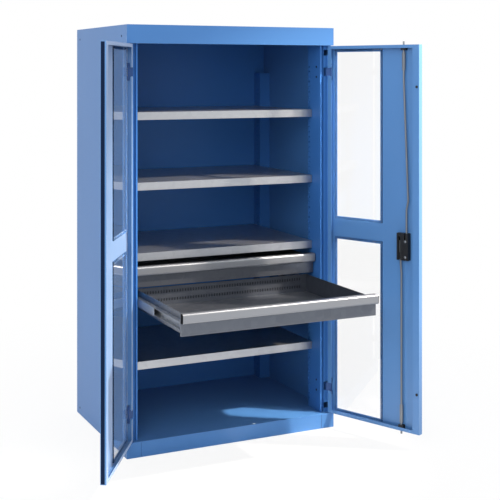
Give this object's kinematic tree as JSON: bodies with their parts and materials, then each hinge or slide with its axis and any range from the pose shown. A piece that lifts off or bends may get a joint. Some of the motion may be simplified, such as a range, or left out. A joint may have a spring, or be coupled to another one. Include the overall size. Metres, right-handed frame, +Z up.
{
  "type": "steel cabinet",
  "caption": "Tall steel cabinet with glazed swing doors, rod lock, adjustable shelves and telescopic drawers, standing on a plinth.",
  "frame": {"origin": "middle of the base, at floor level", "axes": "+X to the cabinet's right seen from the front, +Y to its back, +Z up"},
  "size_m": [1.5264, 1.284, 1.95],
  "materials": {
    "blue_paint": "fine satin powder coat, mid blue",
    "grey_paint": "satin grey coat",
    "galvanised_steel": "galvanised sheet",
    "rail_steel": "zinc plated, rolled",
    "zinc_steel": "zinc plated",
    "dark_steel": "blackened, oiled",
    "blue_tape": "foam tape, matt",
    "aluminium": "anodised extrusion",
    "clear_acrylic": "clear cast sheet",
    "black_plastic": "moulded",
    "handle_plastic": "moulded, fine grain",
    "rubber": "matt",
    "chrome": "plated"
  },
  "bodies": {
    "cabinet": {"top_panel": "blue_paint", "base_panel": "blue_paint", "floor_stiffener": "blue_paint", "back_panel": "blue_paint", "shelf_1": "galvanised_steel", "shelf_2": "galvanised_steel", "shelf_3": "galvanised_steel", "shelf_4": "galvanised_steel", "shelf_clips": "galvanised_steel", "left_side_panel": "blue_paint", "left_front_post": "blue_paint", "left_rear_post": "blue_paint", "left_hinge_brackets": "blue_paint", "left_hinge_pins": "dark_steel", "left_hinge_screws": "dark_steel", "right_side_panel": "blue_paint", "right_front_post": "blue_paint", "right_rear_post": "blue_paint", "right_hinge_brackets": "blue_paint", "right_hinge_pins": "dark_steel", "right_hinge_screws": "dark_steel", "lower_left_cabinet_rail": "rail_steel", "lower_right_cabinet_rail": "rail_steel", "upper_left_cabinet_rail": "rail_steel", "upper_right_cabinet_rail": "rail_steel"},
    "left_door": {"left_door_panel": "blue_paint", "left_glazing_tape": "blue_tape", "left_lower_pane": "clear_acrylic", "left_upper_pane": "clear_acrylic", "left_hinge_knuckles": "blue_paint"},
    "right_door": {"right_door_panel": "blue_paint", "right_glazing_tape": "blue_tape", "right_lower_pane": "clear_acrylic", "right_upper_pane": "clear_acrylic", "right_hinge_knuckles": "blue_paint", "door_buffers": "rubber", "lock_case": "black_plastic", "rod_guides": "black_plastic", "lock_rose": "handle_plastic"},
    "lock_handle": {"lock_handle": "handle_plastic", "lock_cylinder": "chrome", "lock_pinion": "zinc_steel"},
    "upper_lock_rod": {"upper_lock_rod": "zinc_steel"},
    "lower_lock_rod": {"lower_lock_rod": "zinc_steel"},
    "lower_drawer": {"lower_drawer_front": "grey_paint", "lower_drawer_tub": "grey_paint", "lower_drawer_grip": "aluminium", "lower_left_drawer_rail": "rail_steel", "lower_right_drawer_rail": "rail_steel"},
    "lower_runners": {"lower_left_runner": "rail_steel", "lower_right_runner": "rail_steel"},
    "upper_drawer": {"upper_drawer_front": "grey_paint", "upper_drawer_tub": "grey_paint", "upper_drawer_grip": "aluminium", "upper_left_drawer_rail": "rail_steel", "upper_right_drawer_rail": "rail_steel"},
    "upper_runners": {"upper_left_runner": "rail_steel", "upper_right_runner": "rail_steel"}
  },
  "joints": [
    {"name": "right_door_swing", "type": "hinge", "parent": "cabinet", "child": "right_door", "pos_m": [0.521, -0.378, 0.9675], "axis": [0, 0, 1], "range_deg": [-23, 7]},
    {"name": "left_door_swing", "type": "hinge", "parent": "cabinet", "child": "left_door", "pos_m": [-0.521, -0.378, 0.9675], "axis": [0, 0, -1], "range_deg": [-31, 0]},
    {"name": "lock_handle_turn", "type": "hinge", "parent": "right_door", "child": "lock_handle", "pos_m": [0.68784, -0.77106, 0.926], "axis": [0.9205, 0.3907, 0], "range_deg": [0, 90]},
    {"name": "upper_rod_slide", "type": "slide", "parent": "right_door", "child": "upper_lock_rod", "axis": [0, 0, -1], "range_m": [0, 0.01649]},
    {"name": "lower_rod_slide", "type": "slide", "parent": "right_door", "child": "lower_lock_rod", "axis": [0, 0, 1], "range_m": [0, 0.01649]},
    {"name": "upper_drawer_slide", "type": "slide", "parent": "cabinet", "child": "upper_drawer", "axis": [0, -1, 0], "range_m": [0, 0.59]},
    {"name": "upper_runners_slide", "type": "slide", "parent": "cabinet", "child": "upper_runners", "axis": [0, -1, 0], "range_m": [0, 0.295]},
    {"name": "lower_drawer_slide", "type": "slide", "parent": "cabinet", "child": "lower_drawer", "axis": [0, -1, 0], "range_m": [-0.583, 0.007]},
    {"name": "lower_runners_slide", "type": "slide", "parent": "cabinet", "child": "lower_runners", "axis": [0, -1, 0], "range_m": [-0.2915, 0.0035]}
  ],
  "couplings": [
    {"joint": "upper_rod_slide", "follows": "lock_handle_turn", "m_per_rad": 0.0105},
    {"joint": "lower_rod_slide", "follows": "lock_handle_turn", "m_per_rad": 0.0105},
    {"joint": "upper_runners_slide", "follows": "upper_drawer_slide", "ratio": 0.5},
    {"joint": "lower_runners_slide", "follows": "lower_drawer_slide", "ratio": 0.5}
  ]
}
